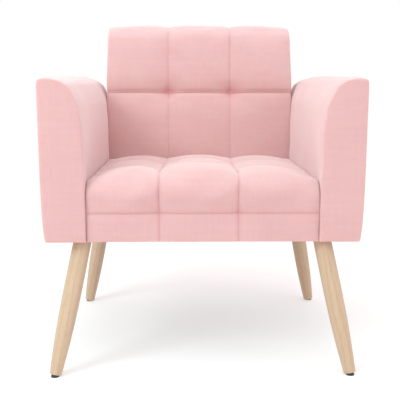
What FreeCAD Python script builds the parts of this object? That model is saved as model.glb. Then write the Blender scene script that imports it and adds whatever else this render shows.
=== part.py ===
import FreeCAD, Part
import os
import Sketcher

# Upholstered armchair: padded box body on four splayed turned legs.
# Millimetres, +Z up, the sitter faces -Y, origin on the floor at the middle of the plan outline.

V = FreeCAD.Vector
doc = FreeCAD.newDocument("armchair")
sheet = doc.addObject("Spreadsheet::Sheet", "dims")

# All depth positions are measured from one datum and moved together, so that the
# plan outline of the finished chair is centred on the origin.
Y0 = 21.384

TABLE = [
    # overall body
    ("body_half_width", 350.0), ("body_half_width_base", 344.0), ("taper_end_z", 435.0),
    ("base_z", 300.0), ("frame_z", 302.0), ("arm_top_z", 649.0),
    ("arm_front_y", -340.0 + Y0), ("seat_front_y", -337.0 + Y0),
    # upholstery build-up
    ("cover_skin", 2.0), ("rear_padding", 4.0), ("back_padding", 50.0), ("web_skin", 1.2),
    # arm section
    ("arm_inner_x", 254.0), ("arm_shoulder_x", 262.0), ("arm_shoulder_z", 585.0), ("arm_waist_z", 440.0),
    ("arm_crown_radius", 62.0), ("arm_edge_radius", 7.0),
    # seat
    ("seat_half_width", 253.5), ("seat_side_z", 431.0), ("seat_crown_z", 456.0), ("seat_nose_radius", 27.0),
    ("deck_z", 347.0),
    # back
    ("back_lip_y", 158.0 + Y0), ("back_lip_z", 429.0), ("back_slope", 0.1918), ("back_half_width", 264.0),
    ("back_corner_half", 257.0), ("back_depth", 103.0), ("back_top_z", 803.0), ("back_top_radius", 40.0), ("back_corner_radius", 12.0),
    ("core_front", 52.0), ("core_wood_front", 54.0), ("core_wood_rear", 94.0), ("core_rear", 97.0),
    ("core_top_z", 745.0), ("core_half_width", 257.0), ("stile_width", 40.0),
    # timber
    ("bearer_depth", 50.0), ("bearer_half", 322.0), ("bearer_front_y", -322.0 + Y0), ("bearer_rear_y", 105.0 + Y0),
    ("side_rail_inner", 258.0), ("arm_frame_inner", 282.0), ("arm_frame_outer", 322.0), ("arm_frame_top", 605.0),
    ("post_depth", 25.0), ("rear_post_depth", 45.0), ("top_rail_height", 30.0),
    ("inner_board", 4.0), ("outer_board", 3.0),
    # webbing
    ("web_width", 50.0), ("web_pitch_cross", 98.0), ("web_pitch_deck", 108.0),
    # legs
    ("leg_top_x", 266.0), ("leg_foot_x", 327.5), ("leg_front_top_y", -298.0 + Y0), ("leg_front_foot_y", -357.0 + Y0),
    ("leg_rear_top_y", 130.0 + Y0), ("leg_rear_foot_y", 189.5 + Y0),
    ("leg_radius_top", 20.0), ("leg_radius_swell", 20.3), ("leg_radius_mid", 19.1), ("leg_radius_low", 16.5), ("leg_radius_foot", 13.3),
    ("leg_length", 310.0), ("leg_end_z", 5.5), ("leg_top_z", 299.5),
    ("plate_size", 46.0), ("plate_gauge", 2.5), ("plate_screw_offset", 17.0),
    ("glide_radius", 9.0), ("bolt_radius", 4.0), ("bolt_hole_radius", 4.6), ("screw_radius", 2.0),
]
VALUE = {}
for row, (name, number) in enumerate(TABLE, start=1):
    sheet.set("A%d" % row, name)
    sheet.set("B%d" % row, repr(number))
    sheet.setAlias("B%d" % row, name)
    VALUE[name] = number
doc.recompute()


class Q:
    """A length that carries its number together with the sheet expression behind it."""
    def __init__(self, number, text=None):
        self.n = float(number)
        self.text = text if text is not None else "(%.6f)" % float(number)
        self.bound = text is not None

    def _mix(self, other, sign, n):
        other = other if isinstance(other, Q) else Q(other)
        out = Q(n, "(%s %s %s)" % (self.text, sign, other.text))
        out.bound = self.bound or other.bound
        return out

    def __add__(self, o):
        return self._mix(o, "+", self.n + num(o))

    def __radd__(self, o):
        return Q(o) + self

    def __sub__(self, o):
        return self._mix(o, "-", self.n - num(o))

    def __rsub__(self, o):
        return Q(o) - self

    def __mul__(self, o):
        return self._mix(o, "*", self.n * num(o))

    def __rmul__(self, o):
        return Q(o) * self

    def __truediv__(self, o):
        return self._mix(o, "/", self.n / num(o))

    def __neg__(self):
        return Q(-1.0) * self


def num(a):
    return a.n if isinstance(a, Q) else float(a)


class Dims:
    def __getattr__(self, name):
        return Q(VALUE[name], "dims." + name)


d = Dims()


def root(a):
    return Q(a.n ** 0.5, "sqrt(%s)" % a.text)


def bind(obj, prop, a):
    if isinstance(a, Q) and a.bound:
        obj.setExpression(prop, a.text)


def put(obj, x=0, y=0, z=0, rot=None):
    obj.Placement = FreeCAD.Placement(V(num(x), num(y), num(z)), rot or FreeCAD.Rotation())
    for axis, a in (("x", x), ("y", y), ("z", z)):
        bind(obj, "Placement.Base." + axis, a)
    return obj


def sketch(body, name, plane):
    sk = body.newObject("Sketcher::SketchObject", name)
    face = [f for f in body.Origin.OriginFeatures if f.Role == plane][0]
    sk.AttachmentSupport = [(face, "")]
    sk.MapMode = "FlatFace"
    return sk


def pin(sk, geo, pos, x, y, tag):
    for kind, a, t in (("DistanceX", x, "x"), ("DistanceY", y, "y")):
        k = sk.addConstraint(Sketcher.Constraint(kind, -1, 1, geo, pos, num(a)))
        if isinstance(a, Q) and a.bound:
            sk.renameConstraint(k, t + tag)
            sk.setExpression("Constraints." + t + tag, a.text)


def outline(sk, pts):
    """Closed straight-sided outline, every corner placed from the sheet."""
    n = len(pts)
    first = len(sk.Geometry)
    for i in range(n):
        a, b = pts[i], pts[(i + 1) % n]
        sk.addGeometry(Part.LineSegment(V(num(a[0]), num(a[1]), 0), V(num(b[0]), num(b[1]), 0)), False)
    for i in range(n):
        sk.addConstraint(Sketcher.Constraint("Coincident", first + i, 2, first + (i + 1) % n, 1))
    for i in range(n):
        pin(sk, first + i, 1, pts[i][0], pts[i][1], "p%d" % (first + i))


def new_body(label):
    body = doc.addObject("PartDesign::Body", "B_" + label)
    body.Label = label
    return body


def pad(body, sk, length, toward_plus=True, symmetric=False):
    doc.recompute()
    f = body.newObject("PartDesign::Pad", sk.Name + "_pad")
    f.Profile = sk
    f.Length = num(length)
    bind(f, "Length", length)
    if symmetric:
        f.Midplane = True
    elif not toward_plus:
        f.Reversed = True
    sk.Visibility = False
    doc.recompute()
    return f


def edge_at(feature, point):
    """Name of the edge whose middle lies nearest a point."""
    best, found = None, None
    for i, e in enumerate(feature.Shape.Edges, start=1):
        m = e.valueAt((e.FirstParameter + e.LastParameter) / 2.0)
        gap = (m - V(*[num(c) for c in point])).Length
        if best is None or gap < best:
            best, found = gap, "Edge%d" % i
    return found


def round_edges(body, feature, points, radius):
    doc.recompute()
    f = body.newObject("PartDesign::Fillet", feature.Name + "_round")
    f.Base = (feature, [edge_at(feature, p) for p in points])
    f.Radius = num(radius)
    bind(f, "Radius", radius)
    doc.recompute()
    return f


def across(label, pts, x0, x1):
    """Side outline (depth, height) padded along the width from x0 to x1."""
    body = new_body(label)
    sk = sketch(body, label + "_side", "YZ_Plane")
    outline(sk, pts)
    pad(body, sk, x1 - x0)
    return put(body, x=x0)


def along(label, pts, y0, y1):
    """Front outline (width, height) padded along the depth from y0 to y1."""
    body = new_body(label)
    sk = sketch(body, label + "_front", "XZ_Plane")
    outline(sk, pts)
    pad(body, sk, y1 - y0, toward_plus=False)
    return put(body, y=y0)


def up(label, pts, z0, z1):
    """Plan outline padded upwards from z0 to z1."""
    body = new_body(label)
    sk = sketch(body, label + "_plan", "XY_Plane")
    outline(sk, pts)
    pad(body, sk, z1 - z0)
    return put(body, z=z0)


def timber(label, x0, x1, y0, y1, z0, z1):
    return up(label, [(x0, y0), (x1, y0), (x1, y1), (x0, y1)], z0, z1)


def rod(label, radius, length, x, y, z, direction):
    c = doc.addObject("Part::Cylinder", label)
    c.Label = label
    c.Radius, c.Height = num(radius), num(length)
    bind(c, "Radius", radius)
    bind(c, "Height", length)
    return put(c, x, y, z, FreeCAD.Rotation(V(0, 0, 1), V(*direction)))


def group(label, items):
    g = doc.addObject("Part::Compound", "G_" + label)
    g.Label = label
    g.Links = items
    doc.recompute()
    return g


def cut(label, base, tools):
    c = doc.addObject("Part::Cut", "C_" + label)
    c.Label = label
    c.Base = base
    c.Tool = tools[0] if len(tools) == 1 else group(label + "_tools", tools)
    doc.recompute()
    return c


def common(label, items):
    c = doc.addObject("Part::MultiCommon", "I_" + label)
    c.Label = label
    c.Shapes = items
    doc.recompute()
    return c


def mirrored(label, source):
    m = doc.addObject("Part::Mirroring", "M_" + label)
    m.Label = label
    m.Source = source
    m.Normal = V(1, 0, 0)
    m.Base = V(0, 0, 0)
    doc.recompute()
    return m


NODES = []


def node(obj, label=None):
    if label:
        obj.Label = label
    NODES.append(obj)
    return obj


def both(right, stem):
    """A right-hand piece and its mirror image."""
    node(right, stem + "_right")
    node(mirrored(stem + "_left", right))


# ---------------------------------------------------------------- the leaning planes of the back
stretch = root(Q(1.0) + d.back_slope * d.back_slope)


def lean(z, depth=0.0):
    """Depth position, at height z, of the plane lying `depth` behind the face of the back."""
    z = z if isinstance(z, Q) else Q(z)
    depth = depth if isinstance(depth, Q) else Q(depth)
    return d.back_lip_y + (z - d.back_lip_z) * d.back_slope + depth * stretch


def slab(z0, z1, n0, n1):
    """Side outline of a board lying in the leaning back, ends cut level."""
    return [(lean(z0, n0), z0), (lean(z0, n1), z0), (lean(z1, n1), z1), (lean(z1, n0), z1)]


deep = Q(40.0)

# ---------------------------------------------------------------- outer and inner forms of the padding
def arm_form(tag, inset, low, y0, rear_depth):
    top = d.arm_top_z - inset
    inner = d.arm_shoulder_x + inset
    body = new_body("arm_section_" + tag)
    sk = sketch(body, "arm_section_" + tag + "_front", "XZ_Plane")
    outline(sk, [(d.arm_inner_x + inset, low), (d.body_half_width_base - inset, low),
                 (d.body_half_width - inset, d.taper_end_z), (d.body_half_width - inset, top),
                 (inner, top), (inner, d.arm_shoulder_z), (d.arm_inner_x + inset, d.arm_waist_z)])
    length = 700.0
    p = pad(body, sk, length, toward_plus=False)
    f = round_edges(body, p, [(inner, length / 2, top)], d.arm_crown_radius - inset)
    round_edges(body, f, [(d.body_half_width - inset, length / 2, top)], d.arm_edge_radius - inset * 0.5)
    put(body, y=y0)
    side = across("arm_side_" + tag, [(y0, low - 1.0), (lean(low - 1.0, rear_depth), low - 1.0),
                                      (lean(top + 20.0, rear_depth), top + 20.0), (y0, top + 20.0)], Q(230.0), Q(380.0))
    return common("arm_form_" + tag, [body, side])


def back_form(tag, inset, low_front, low_rear):
    top = d.back_top_z - inset
    half = d.back_half_width - inset
    front, rear, step = inset, d.back_depth - inset, d.core_front + 0.0
    body = new_body("back_side_" + tag)
    sk = sketch(body, "back_side_" + tag + "_outline", "YZ_Plane")
    outline(sk, [(lean(low_front, front), low_front), (lean(low_front, step), low_front), (lean(low_rear, step), low_rear),
                 (lean(low_rear, rear), low_rear), (lean(top, rear), top), (lean(top, front), top)])
    p = pad(body, sk, 600.0, symmetric=True)
    radius = d.back_top_radius - inset
    round_edges(body, p, [(0, lean(top, rear), top), (0, lean(top, front), top)], radius)
    face = new_body("back_face_" + tag)
    sk = sketch(face, "back_face_" + tag + "_outline", "XZ_Plane")
    corner = d.back_corner_half - inset
    outline(sk, [(-half, low_rear - 5.0), (half, low_rear - 5.0), (half, d.arm_top_z), (corner, top), (-corner, top), (-half, d.arm_top_z)])
    p = pad(face, sk, 600.0, toward_plus=False)
    round_edges(face, p, [(corner, 300, top), (-corner, 300, top)], d.back_corner_radius - inset)
    put(face, y=-50)
    return common("back_form_" + tag, [body, face])


def seat_form(tag, inset, low, low_deck):
    half = d.seat_half_width - inset
    body = new_body("seat_side_" + tag)
    sk = sketch(body, "seat_side_" + tag + "_outline", "YZ_Plane")
    y_front = d.seat_front_y + inset
    high = d.seat_crown_z + 8.0
    gap = Q(-0.5)
    outline(sk, [(y_front, low), (d.bearer_front_y, low), (d.bearer_front_y, low_deck),
                 (lean(low_deck, gap), low_deck), (lean(high, gap), high), (y_front, high)])
    pad(body, sk, 600.0, symmetric=True)
    face = new_body("seat_face_" + tag)
    sk = sketch(face, "seat_face_" + tag + "_outline", "XZ_Plane")
    side_z, crown_z = d.seat_side_z - inset, d.seat_crown_z - inset
    # flat sides and bottom, crowned top: three straight lines and one arc through the crown
    pts = [(-half, side_z), (-half, low - 5.0), (half, low - 5.0), (half, side_z)]
    for i in range(3):
        a, b = pts[i], pts[i + 1]
        sk.addGeometry(Part.LineSegment(V(num(a[0]), num(a[1]), 0), V(num(b[0]), num(b[1]), 0)), False)
    arc = Part.Arc(V(num(half), num(side_z), 0), V(0, num(crown_z), 0), V(-num(half), num(side_z), 0))
    sk.addGeometry(arc, False)
    for i in range(2):
        sk.addConstraint(Sketcher.Constraint("Coincident", i, 2, i + 1, 1))
    arc_start = 1 if (sk.Geometry[3].StartPoint - V(num(half), num(side_z), 0)).Length < 1e-3 else 2
    sk.addConstraint(Sketcher.Constraint("Coincident", 2, 2, 3, arc_start))
    sk.addConstraint(Sketcher.Constraint("Coincident", 0, 1, 3, 3 - arc_start))
    for i in range(3):
        pin(sk, i, 1, pts[i][0], pts[i][1], "p%d" % i)
    pin(sk, 2, 2, pts[3][0], pts[3][1], "p3")
    rise = d.seat_crown_z - d.seat_side_z
    k = sk.addConstraint(Sketcher.Constraint("Radius", 3, sk.Geometry[3].Radius))
    sk.renameConstraint(k, "crown")
    sk.setExpression("Constraints.crown", ((half * half + rise * rise) / (rise * 2.0)).text)
    pad(face, sk, 700.0, toward_plus=False)
    put(face, y=-400)
    whole = common("seat_block_" + tag, [body, face])
    # the nose: the top front edge is rolled over
    nose = new_body("seat_nose_" + tag)
    sk = sketch(nose, "seat_nose_" + tag + "_outline", "YZ_Plane")
    r = d.seat_nose_radius - inset
    outline(sk, [(y_front - 5.0, low - 6.0), (d.back_lip_y + 60.0, low - 6.0), (d.back_lip_y + 60.0, crown_z + 6.0), (y_front + r + 30.0, crown_z + 6.0),
                 (y_front + r, crown_z - 1.0), (y_front + r * 0.5, crown_z - r * 0.134 - 2.0), (y_front + r * 0.134, crown_z - r * 0.5 - 3.0), (y_front, crown_z - r - 4.0), (y_front - 5.0, crown_z - r - 14.0)])
    pad(nose, sk, 600.0, symmetric=True)
    return common("seat_form_" + tag, [whole, nose])


skin = d.cover_skin
zero = Q(0.0)

# ---------------------------------------------------------------- base frame timber
# leg axes: foot centre on the floor to top centre under the frame
LEGS = {}
for end, top_y, foot_y in (("front", d.leg_front_top_y, d.leg_front_foot_y), ("rear", d.leg_rear_top_y, d.leg_rear_foot_y)):
    run = V(num(d.leg_top_x) - num(d.leg_foot_x), num(top_y) - num(foot_y), num(d.base_z))
    run.normalize()
    LEGS[end] = (top_y, foot_y, run)


def on_axis(end, z):
    """Point of the leg axis at height z."""
    top_y, foot_y, run = LEGS[end]
    z = z if isinstance(z, Q) else Q(z)
    share = z / d.base_z
    return d.leg_foot_x + (d.leg_top_x - d.leg_foot_x) * share, foot_y + (top_y - foot_y) * share, z


# frame bolts run level across the side rail, or the rear post, into the back stiles
bolt_low_z, bolt_high_z = Q(325.0), Q(520.0)
wood_mid = (d.core_wood_front + d.core_wood_rear) / 2.0


def bolt_rods(tag, radius, x0, x1):
    out = []
    for name, z in (("low", bolt_low_z), ("high", bolt_high_z)):
        out.append(rod("%s_%s" % (tag, name), radius, x1 - x0, x0, lean(z, wood_mid), z, (1, 0, 0)))
    return out


def hanger_bores(tag, end):
    x, y, z = on_axis(end, d.leg_top_z - 2.0)
    run = LEGS[end][2]
    return rod(tag + "_r", Q(6.0), Q(40.0), x, y, z, (run.x, run.y, run.z)), \
        rod(tag + "_l", Q(6.0), Q(40.0), -x, y, z, (-run.x, run.y, run.z))


def plate_bores(tag, end, radius, z0, length):
    out = []
    top_y = LEGS[end][0]
    n = 0
    for side in (1, -1):
        for i in (1, -1):
            for j in (1, -1):
                n += 1
                out.append(rod("%s_%d" % (tag, n), radius, length, d.leg_top_x * side + d.plate_screw_offset * i,
                               top_y + d.plate_screw_offset * j, z0, (0, 0, 1)))
    return out


front_y0, front_y1 = d.bearer_front_y, d.bearer_front_y + d.bearer_depth
rear_y0, rear_y1 = d.bearer_rear_y, d.bearer_rear_y + d.bearer_depth
rail_end = lean(d.frame_z, d.core_rear)
rim = d.bearer_half

# long frame screws join the side rails to the two bearers
screw_z = (Q(312.0), Q(336.0))


def long_screws(tag, radius, length):
    out = []
    for i, z in enumerate(screw_z):
        y = (rear_y0 + rear_y1) / 2.0 + 13.0 * (2 * i - 1)
        for side in (1, -1):
            s = "p" if side > 0 else "n"
            out.append(rod("%s_f%d%s" % (tag, i, s), radius, length, (d.side_rail_inner + 45.0) * side, front_y0 + 4.0, z, (0, 1, 0)))
            out.append(rod("%s_r%d%s" % (tag, i, s), radius, length, (rim - 4.0) * side, y, screw_z[1], (-side, 0, 0)))
    return out


bearer_front = timber("bearer_front_blank", -rim, rim, front_y0, front_y1, d.frame_z, d.deck_z)
node(cut("bearer_front", bearer_front, list(hanger_bores("bore_front", "front"))
         + plate_bores("pilot_front", "front", d.screw_radius, d.frame_z - 1.0, Q(17.0))
         + [t for t in long_screws("pilot_long_a", d.screw_radius, Q(90.0)) if "_f" in t.Label]))
bearer_rear = timber("bearer_rear_blank", -d.side_rail_inner, d.side_rail_inner, rear_y0, rear_y1, d.frame_z, d.deck_z)
PLATE_PILOTS_REAR = plate_bores("pilot_rear", "rear", d.screw_radius, d.frame_z - 1.0, Q(17.0))
BORE_REAR = list(hanger_bores("bore_rear", "rear"))
node(cut("bearer_rear", bearer_rear, BORE_REAR + PLATE_PILOTS_REAR
         + [t for t in long_screws("pilot_long_b", d.screw_radius, Q(90.0)) if "_r" in t.Label]))
rail = up("side_rail_blank", [(d.side_rail_inner, front_y1), (rim, front_y1), (rim, rail_end), (d.side_rail_inner, rail_end)], d.frame_z, d.deck_z)
both(cut("side_rail_right", rail, bolt_rods("rail_bore", d.bolt_hole_radius, Q(250.0), Q(330.0))[:1] + [BORE_REAR[0]]
         + [t for t in plate_bores("pilot_rear_c", "rear", d.screw_radius, d.frame_z - 1.0, Q(17.0))[:4]]
         + [t for t in long_screws("pilot_long_c", d.screw_radius, Q(90.0)) if t.Label.endswith("p")]), "side_rail")
node(group("frame_screws", long_screws("frame_screw", d.screw_radius, Q(90.0))))

# ---------------------------------------------------------------- arm frames (right one, then mirrored)
post_y0 = d.bearer_front_y
post_y1 = post_y0 + d.post_depth
xi, xo = d.arm_frame_inner, d.arm_frame_outer
both(timber("arm_front_post_right", xi, xo, post_y0, post_y1, d.deck_z, d.arm_frame_top), "arm_front_post")
rear_n1 = d.core_rear
rear_n0 = d.core_rear - d.rear_post_depth
rear_post = across("arm_rear_post_blank", slab(d.deck_z, d.arm_frame_top, rear_n0, rear_n1), xi, xo)
both(cut("arm_rear_post_right", rear_post, [bolt_rods("post_bore", d.bolt_hole_radius, Q(250.0), Q(330.0))[1]]), "arm_rear_post")
rail_low = d.arm_frame_top - d.top_rail_height
both(across("arm_top_rail_right", [(post_y1, rail_low), (lean(rail_low, rear_n0), rail_low), (lean(d.arm_frame_top, rear_n0), d.arm_frame_top),
                                   (post_y1, d.arm_frame_top)], xi, xo), "arm_top_rail")
board_low = d.deck_z + 5.0
inner_board = across("arm_inner_board_blank", [(post_y0, board_low), (lean(board_low, rear_n1), board_low), (lean(d.arm_frame_top, rear_n1), d.arm_frame_top),
                                               (post_y0, d.arm_frame_top)], xi - d.inner_board, xi)
both(cut("arm_inner_board_right", inner_board, [bolt_rods("inner_board_bore", d.bolt_hole_radius, Q(250.0), Q(330.0))[1]]), "arm_inner_board")
outer_board = across("arm_outer_board_blank", [(post_y0, d.frame_z), (lean(d.frame_z, rear_n1), d.frame_z), (lean(d.arm_frame_top, rear_n1), d.arm_frame_top),
                                               (post_y0, d.arm_frame_top)], xo, xo + d.outer_board)
both(outer_board, "arm_outer_board")
both(timber("arm_front_board_right", xi - d.inner_board, xo + d.outer_board, post_y0 - d.outer_board, post_y0, d.deck_z, d.arm_frame_top), "arm_front_board")

# ---------------------------------------------------------------- back frame
stile_in = d.core_half_width - d.stile_width
stile = across("back_stile_blank", slab(d.frame_z, d.core_top_z, d.core_wood_front, d.core_wood_rear), stile_in, d.core_half_width)
both(cut("back_stile_right", stile, bolt_rods("stile_bore", d.bolt_hole_radius, Q(200.0), Q(330.0))), "back_stile")
wf, wr = d.core_wood_front, d.core_wood_rear
node(across("back_top_rail", slab(d.core_top_z - 45.0, d.core_top_z, wf, wr), -stile_in, stile_in))
node(across("back_middle_rail", slab(Q(440.0), Q(480.0), wf, wr), -stile_in, stile_in))
node(across("back_bottom_rail", slab(Q(340.0), Q(385.0), wf, wr), -stile_in, stile_in))
node(across("back_rear_board", slab(d.frame_z, d.core_top_z, wr, d.core_rear), -d.core_half_width, d.core_half_width))
webs = []
for i in range(4):
    z = Q(505.0) + i * 60.0
    webs.append(across("back_web_%d" % (i + 1), slab(z, z + d.web_width, wf - d.web_skin, wf), -d.core_half_width, d.core_half_width))
node(group("back_webbing", webs))

# ---------------------------------------------------------------- seat deck webbing, laid over the rails
deck = []
for i in range(5):
    x = (i - 2) * d.web_pitch_cross
    deck.append(timber("deck_web_long_%d" % (i + 1), x - d.web_width / 2.0, x + d.web_width / 2.0, front_y0 + 3.0, rear_y1 - 3.0, d.deck_z, d.deck_z + d.web_skin))
node(group("seat_webbing_lengthwise", deck))
deck = []
for i in range(4):
    y = front_y1 + 36.0 + i * d.web_pitch_deck * 0.82
    deck.append(timber("deck_web_cross_%d" % (i + 1), -(d.arm_frame_inner - 5.0), d.arm_frame_inner - 5.0, y - d.web_width / 2.0, y + d.web_width / 2.0,
                       d.deck_z + d.web_skin, d.deck_z + d.web_skin * 2.0))
node(group("seat_webbing_crosswise", deck))
pad_low = d.deck_z + d.web_skin * 2.0 + 0.1

# ---------------------------------------------------------------- back pad and covers
back_outer = back_form("outer", zero, pad_low, d.base_z)
back_inner = back_form("inner", skin, pad_low - 1.0, d.base_z - 1.0)
bolt_gaps = bolt_rods("pad_bore_right", d.bolt_hole_radius, Q(200.0), Q(330.0)) + bolt_rods("pad_bore_left", d.bolt_hole_radius, Q(-330.0), Q(-200.0))
# beside the side rails, below the deck, the back has neither pad nor side cover
below_deck = [across("below_deck_" + s, slab(Q(280.0), pad_low, Q(-60.0), d.core_rear + 0.4), x0, x1)
              for s, x0, x1 in (("r", d.side_rail_inner - 0.8, Q(300.0)), ("l", Q(-300.0), -(d.side_rail_inner - 0.8)))]
cover_all = cut("back_cover_all", back_outer, [back_inner] + below_deck + bolt_gaps)
core = across("back_core_void", slab(d.base_z - 3.0, d.core_top_z, d.core_front, d.core_rear), -d.core_half_width, d.core_half_width)
# the pad wraps face, sides and top of the frame; below the deck only the thin rear wrap carries on
pad_blank = back_form("pad", skin, pad_low, d.frame_z)
node(cut("back_foam", pad_blank, [core] + below_deck + [doc.getObject(t.Name) for t in bolt_rods("foam_bore_right", d.bolt_hole_radius, Q(200.0), Q(330.0))
                                           + bolt_rods("foam_bore_left", d.bolt_hole_radius, Q(-330.0), Q(-200.0))]))
# one seam runs round the rear edge: the front cover takes face, top and sides, the rear cover the outside back
rear_zone = across("rear_zone", [(lean(Q(280.0), d.back_depth - skin), Q(280.0)), (lean(Q(280.0), Q(180.0)), Q(280.0)),
                                 (lean(Q(900.0), Q(180.0)), Q(900.0)), (lean(Q(900.0), d.back_depth - skin), Q(900.0))], Q(-400.0), Q(400.0))
node(cut("back_cover_front", cover_all, [rear_zone]))
node(common("back_cover_rear", [cover_all, rear_zone]))

# ---------------------------------------------------------------- seat pad and cover
seat_outer = seat_form("outer", zero, d.base_z, pad_low)
seat_inner = seat_form("inner", skin, d.base_z - 1.0, pad_low - 1.0)
seat_pad = seat_form("pad", skin, d.frame_z, pad_low)
node(seat_pad, "seat_foam")
node(cut("seat_cover", seat_outer, [seat_inner]))

# ---------------------------------------------------------------- arm pads and covers
front_skin_y = d.arm_front_y + skin
arm_outer = arm_form("outer", zero, d.base_z, front_skin_y, d.back_depth)
arm_inner = arm_form("inner", skin, d.base_z - 1.0, front_skin_y - 1.0, d.back_depth - skin)
arm_pad = arm_form("pad", skin, d.frame_z, front_skin_y, d.back_depth - skin)
# the edge of the back presses into the arm padding
press = across("back_press", slab(d.base_z - 10.0, d.arm_top_z + 30.0, Q(-0.4), Q(140.0)), Q(200.0), d.back_half_width + 0.4)
# the inner side of the wrap ends on top of the deck; only in front of the bearer does it reach the bottom edge
tuck = timber("arm_cover_tuck", Q(240.0), d.side_rail_inner + 6.0, front_y0, Q(400.0), d.base_z - 10.0, pad_low)
both(cut("arm_cover_right", arm_outer, [arm_inner, tuck, press]), "arm_cover")
arm_core = across("arm_core_void", [(post_y0 - d.outer_board, d.frame_z - 3.0), (lean(d.frame_z - 3.0, rear_n1), d.frame_z - 3.0),
                                    (lean(d.arm_frame_top, rear_n1), d.arm_frame_top), (post_y0 - d.outer_board, d.arm_frame_top)],
                  xi - d.inner_board, xo + d.outer_board)
rail_void = up("rail_void", [(Q(240.0), front_y0), (rim, front_y0), (rim, rail_end + 2.0), (Q(240.0), rail_end + 2.0)], d.frame_z - 3.0, pad_low)
both(cut("arm_foam_right", arm_pad, [arm_core, rail_void, press] + bolt_rods("arm_foam_bore", d.bolt_hole_radius, Q(250.0), Q(330.0))), "arm_foam")
# flat front panel of the arm, sewn round its edge to the wrap
panel = new_body("arm_front_cover_blank")
sk = sketch(panel, "arm_front_cover_outline", "XZ_Plane")
outline(sk, [(d.arm_inner_x, d.base_z), (d.body_half_width_base, d.base_z), (d.body_half_width, d.taper_end_z), (d.body_half_width, d.arm_top_z),
             (d.arm_shoulder_x, d.arm_top_z), (d.arm_shoulder_x, d.arm_shoulder_z), (d.arm_inner_x, d.arm_waist_z)])
p = pad(panel, sk, skin, toward_plus=False)
f = round_edges(panel, p, [(d.arm_shoulder_x, skin / 2.0, d.arm_top_z)], d.arm_crown_radius)
round_edges(panel, f, [(d.body_half_width, skin / 2.0, d.arm_top_z)], d.arm_edge_radius)
put(panel, y=d.arm_front_y)
both(panel, "arm_front_cover")

# ---------------------------------------------------------------- dust cover under the body, cut away at the leg plates
under = up("dust_cover_blank", [(-(d.body_half_width_base - skin - 1.0), front_y0 + 0.5), (d.body_half_width_base - skin - 1.0, front_y0 + 0.5),
                                (d.body_half_width_base - skin - 1.0, lean(d.base_z, d.core_rear)),
                                (-(d.body_half_width_base - skin - 1.0), lean(d.base_z, d.core_rear))], d.frame_z - 1.0, d.frame_z)
gaps = []
half_plate = d.plate_size / 2.0
for end in ("front", "rear"):
    y = LEGS[end][0]
    for side, s in ((1, "r"), (-1, "l")):
        x = d.leg_top_x * side
        m = half_plate + 1.0
        gaps.append(timber("dust_gap_%s_%s" % (end, s), x - m, x + m, y - m, y + m, d.frame_z - 3.0, d.frame_z + 2.0))
node(cut("dust_cover", under, gaps))

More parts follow.
